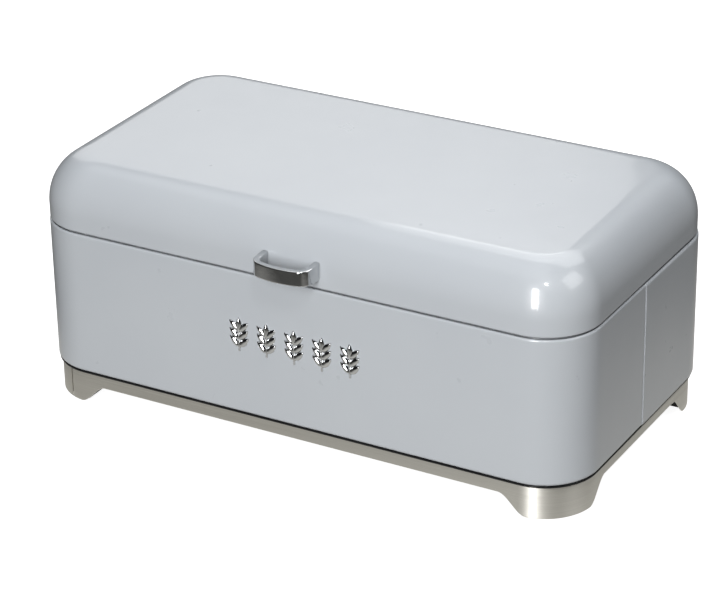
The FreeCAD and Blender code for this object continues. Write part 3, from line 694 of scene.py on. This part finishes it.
def handle_bow():
    """A bowed strap with soft edges, swept from one root to the other."""
    centre_x = (handle_low.x + handle_high.x) / 2
    half = (handle_high.x - handle_low.x) / 2 - HANDLE_STRAP / 2
    root = lid_low.y + HANDLE_SINK
    corner = lid_low.y - HANDLE_REACH + HANDLE_STRAP / 2
    crest = corner - HANDLE_BOW
    bend = HANDLE_BEND - HANDLE_STRAP / 2
    path = supported(rounded([
        (half, root, 0), (half, corner, bend), (0, crest, HANDLE_CURVE),
        (-half, corner, bend), (-half, root, 0)], steps=HANDLE_STEPS), near=1 * MM)
    middle = (handle_low.z + handle_high.z) / 2
    tall = handle_high.z - handle_low.z
    rings = []
    for i, spot in enumerate(path):
        along = (path[min(i + 1, len(path) - 1)] - path[max(i - 1, 0)]).normalized()
        across = Vector((-along.y, along.x, 0))
        reach = (root - spot.y) / (root - crest)
        height = tall + (HANDLE_SHORT - tall) * reach
        seat = Vector((centre_x + spot.x, spot.y, middle))
        rings.append([seat + across * p.x + Vector((0, 0, p.y))
                      for p in rounded_bar(HANDLE_STRAP, height, HANDLE_ROUND)])
    points, faces = capped(rings)
    mesh_piece("handle_bow", points, faces, "lid", "chrome", ["handle"])


# ---------------------------------------------------------------- ornaments

GRAIN_LENGTH = 10.4 * MM
GRAIN_WIDTH = 4.6 * MM
GRAIN_RISE = 2.0 * MM     # height of the keel over the wall
GRAIN_TIP = 0.05 * MM     # half width at a grain's two ends
GRAIN_TILT = math.radians(44)
GRAIN_PITCH = 5.8 * MM
GRAIN_PAIRS = 3
GRAIN_STEPS = 14
GRAIN_LANES = (-1, -0.92, -0.6, -0.3, 0, 0.3, 0.6, 0.92, 1)
RIM = 0.7 * MM            # height of the upright rim of grains and stems
SINK = 0.2 * MM           # how far they run into the wall
STEM_WIDTH = 2.2 * MM
STEM_RISE = 1.6 * MM
STEM_OVERLAP = 2 * MM     # how far the stem runs up under the top grain
STEM_FOOT = 0.72          # width of the stem's foot as a share of its top
STEM_STEPS = 8


def grain(base, tilt):
    """One grain: a pointed leaf with a rounded keel, standing on a thin upright rim."""
    along = Vector((math.sin(tilt), 0, math.cos(tilt)))
    across = Vector((math.cos(tilt), 0, -math.sin(tilt)))
    out = Vector((0, -1, 0))
    rings = []
    for i in range(GRAIN_STEPS + 1):
        t = i / GRAIN_STEPS
        swell = max(math.sin(math.pi * t ** 0.85), 0.0) ** 0.75
        half = max(GRAIN_WIDTH / 2 * swell, GRAIN_TIP)
        keel = (GRAIN_RISE - RIM) * min(1, swell * 1.2)
        centre = base + along * (GRAIN_LENGTH * t)
        ring = [centre + across * (half * lane) + out * (RIM + keel * (1 - abs(lane) ** 1.7))
                for lane in GRAIN_LANES]
        ring += [centre + across * half - out * SINK, centre - across * half - out * SINK]
        rings.append(ring)
    return capped(rings)


def stem(x, wall, low, high):
    """A ridged bar that tapers a little to its foot."""
    rings = []
    for i in range(STEM_STEPS + 1):
        t = i / STEM_STEPS
        half = STEM_WIDTH / 2 * (STEM_FOOT + (1 - STEM_FOOT) * t)
        z = low + (high - low) * t
        rings.append([Vector((x - half, wall + SINK, z)), Vector((x - half, wall - RIM, z)),
                      Vector((x, wall - STEM_RISE, z)), Vector((x + half, wall - RIM, z)),
                      Vector((x + half, wall + SINK, z))])
    return capped(rings)


def ornament(number):
    """A raised ear of wheat: a ridged stem, leaning grains in pairs and one on top."""
    low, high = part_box(f"ornament_{number}")
    x = (low.x + high.x) / 2
    wall = front_low.y
    top = high.z - GRAIN_LENGTH
    points, faces = stem(x, wall, low.z, top + STEM_OVERLAP)
    parts = [(top, 0.0)]
    for pair in range(GRAIN_PAIRS):
        parts += [(top - pair * GRAIN_PITCH, way * GRAIN_TILT) for way in (-1, 1)]
    for height, lean in parts:
        more, quads = grain(Vector((x, wall, height)), lean)
        faces += [tuple(len(points) + k for k in quad) for quad in quads]
        points += more
    mesh_piece(f"wheat_ear_{number}", points, faces, "bin", "chrome", [f"ornament_{number}"])


# ---------------------------------------------------------------- build

EARS = 5

body_shell("front_wall", -1, ["front_shell"], **FRONT_SHELL)
body_shell("rear_wall", 1, ["rear_shell"], **REAR_SHELL)
lid()
plinth_band()
handle_bow()
for ear_number in range(1, EARS + 1):
    ornament(ear_number)

slot_of = {part["node"]: part["material_slot"] for part in frame["record"]["subparts"]}
for node_name, node in frame["nodes"].items():
    node.data.materials.clear()
    node.data.materials.append(FINISHES[slot_of[node_name]])
    node.data.shade_smooth()
    node.data.set_sharp_from_angle(angle=CAD_EDGE)


# ---------------------------------------------------------------- floor, light and camera

FLOOR_SIZE = 12
FLOOR_SEEN = (0.5, 0.5, 0.5)          # the floor's colour to the eye, under its own glow
FLOOR_GLOW = 0.93
FLOOR_GIVEN = (0.20, 0.19, 0.175)     # its colour for the light it sends back at the bin
# The patch is painted light: a glow on the floor that only reflections see
PATCH_TINT = (1.0, 0.985, 0.93)
PATCH_NEAR = 0.62                     # strength of the painted glow beside the bin, seen only in reflections
PATCH_FAR = 0.09                      # and beyond it
PATCH_START = 0.04                    # distances from the bin between which it fades
PATCH_END = 0.28
END_FADE = 2.2                        # how much faster it fades off the two ends


def floor():
    """A pale floor, evenly white to the eye, that sends little light back up at the bin.

    What shines in the metal is a painted glow round the bin, seen only in reflections, which fades
    with distance.
    """
    bpy.ops.mesh.primitive_plane_add(size=FLOOR_SIZE, location=(0, 0, 0))
    plane = bpy.context.object
    plane.name = "floor"
    material = bpy.data.materials.new("floor")
    material.use_nodes = True
    tree = material.node_tree
    tree.nodes.clear()

    def node(kind, **settings):
        made = tree.nodes.new(kind)
        for key, setting in settings.items():
            setattr(made, key, setting)
        return made

    def matt(colour):
        surface = node("ShaderNodeBsdfDiffuse")
        surface.inputs["Color"].default_value = (*colour, 1)
        return surface.outputs["BSDF"]

    def mixed(factor, first, second):
        mix = node("ShaderNodeMixShader")
        tree.links.new(factor, mix.inputs["Fac"])
        tree.links.new(first, mix.inputs[1])
        tree.links.new(second, mix.inputs[2])
        return mix.outputs["Shader"]

    def vector(operation, first, second=None):
        step = node("ShaderNodeVectorMath", operation=operation)
        tree.links.new(first, step.inputs[0])
        if second:
            step.inputs[1].default_value = second
        return step.outputs["Value" if operation == "LENGTH" else "Vector"]

    glow = node("ShaderNodeEmission")
    glow.inputs["Strength"].default_value = FLOOR_GLOW
    seen = node("ShaderNodeAddShader")
    tree.links.new(matt(FLOOR_SEEN), seen.inputs[0])
    tree.links.new(glow.outputs["Emission"], seen.inputs[1])

    where = node("ShaderNodeTexCoord").outputs["Object"]
    beyond = vector("SUBTRACT", vector("ABSOLUTE", where), (HALF_X, HALF_Y, 0.0))
    outside = vector("MAXIMUM", beyond, (0.0, 0.0, 0.0))
    distance = vector("LENGTH", vector("MULTIPLY", outside, (END_FADE, 1.0, 1.0)))
    fade = node("ShaderNodeMapRange")
    for socket, setting in (("From Min", PATCH_START), ("From Max", PATCH_END),
                            ("To Min", PATCH_NEAR), ("To Max", PATCH_FAR)):
        fade.inputs[socket].default_value = setting
    tree.links.new(distance, fade.inputs["Value"])
    # Painted light: the floor glows round the bin for glossy rays only, in place of a lit patch
    painted_glow = node("ShaderNodeEmission")
    painted_glow.inputs["Color"].default_value = (*PATCH_TINT, 1)
    tree.links.new(fade.outputs["Result"], painted_glow.inputs["Strength"])

    path = node("ShaderNodeLightPath")
    unseen = mixed(path.outputs["Is Glossy Ray"], matt(FLOOR_GIVEN), painted_glow.outputs["Emission"])
    surface = mixed(path.outputs["Is Camera Ray"], unseen, seen.outputs["Shader"])
    tree.links.new(surface, node("ShaderNodeOutputMaterial").inputs["Surface"])
    plane.data.materials.append(material)


AIM_HEIGHT = 0.10
WHITE = (1, 1, 1)
COOL = (0.98, 0.99, 1.0)


def softbox(name, azimuth, elevation, distance, size, power, colour):
    """An area light that faces the bin; azimuth 0 is in front of it, 90 to its right."""
    a, e = math.radians(azimuth), math.radians(elevation)
    aim = Vector((0, MIDDLE_Y, AIM_HEIGHT))
    back = Vector((math.sin(a) * math.cos(e), -math.cos(a) * math.cos(e), math.sin(e)))
    data = bpy.data.lights.new(name, "AREA")
    data.shape = "RECTANGLE"
    data.size, data.size_y = size
    data.energy = power
    data.color = colour
    light = bpy.data.objects.new(name, data)
    light.location = aim + back * distance
    light.rotation_euler = (-back).to_track_quat("-Z", "Y").to_euler()
    bpy.context.scene.collection.objects.link(light)


def world(strength, colour):
    """Dim all round for the light on the bin, and pale where the eye looks past the floor."""
    scene = bpy.context.scene
    scene.world = bpy.data.worlds.new("studio")
    scene.world.use_nodes = True
    tree = scene.world.node_tree
    dim = tree.nodes["Background"]
    dim.inputs["Color"].default_value = (*colour, 1)
    dim.inputs["Strength"].default_value = strength
    pale = tree.nodes.new("ShaderNodeBackground")
    pale.inputs["Color"].default_value = (1, 1, 1, 1)
    mix = tree.nodes.new("ShaderNodeMixShader")
    path = tree.nodes.new("ShaderNodeLightPath")
    tree.links.new(path.outputs["Is Camera Ray"], mix.inputs["Fac"])
    tree.links.new(dim.outputs["Background"], mix.inputs[1])
    tree.links.new(pale.outputs["Background"], mix.inputs[2])
    tree.links.new(mix.outputs["Shader"], tree.nodes["World Output"].inputs["Surface"])


EYE_AZIMUTH, EYE_ELEVATION, EYE_ROLL = (math.radians(x) for x in (29.816, 26.053, -0.98))
EYE_DISTANCE = 1.9579
EYE_AIM = Vector((-0.00614, -0.00107, 0.07268))
LENS, SENSOR = 140.12, 36
SHIFT_X, SHIFT_Y = 0.0013, 0.0011
FARTHEST = 50


def camera():
    """The view from the front right and above."""
    back = Vector((math.sin(EYE_AZIMUTH) * math.cos(EYE_ELEVATION),
                   -math.cos(EYE_AZIMUTH) * math.cos(EYE_ELEVATION), math.sin(EYE_ELEVATION)))
    data = bpy.data.cameras.new("camera")
    data.sensor_width = SENSOR
    data.lens = LENS
    data.shift_x, data.shift_y = SHIFT_X, SHIFT_Y
    data.clip_end = FARTHEST
    eye = bpy.data.objects.new("camera", data)
    eye.location = EYE_AIM + back * EYE_DISTANCE
    turn = (-back).to_track_quat("-Z", "Y").to_matrix() @ Matrix.Rotation(EYE_ROLL, 3, "Z")
    eye.rotation_euler = turn.to_euler()
    bpy.context.scene.collection.objects.link(eye)
    bpy.context.scene.camera = eye


floor()
world(0.02, (0.80, 0.84, 0.90))
# Each light: azimuth, elevation, distance, size, power in watts, colour
softbox("overhead", -60, 78, 1.7, (1.8, 1.4), 6.2, COOL)
softbox("back", 180, 55, 1.9, (1.8, 1.2), 16.2, COOL)
softbox("back_left", -140, 28, 2.2, (1.6, 1.2), 7.6, WHITE)
softbox("key", 34, 50, 1.9, (0.22, 0.22), 4.2, WHITE)
softbox("front_strip", 10, 20, 2.0, (0.42, 1.4), 33.5, WHITE)
softbox("right", 96, 42, 2.2, (1.2, 1.0), 11.6, WHITE)
camera()
bpy.context.scene.view_settings.view_transform = "Standard"
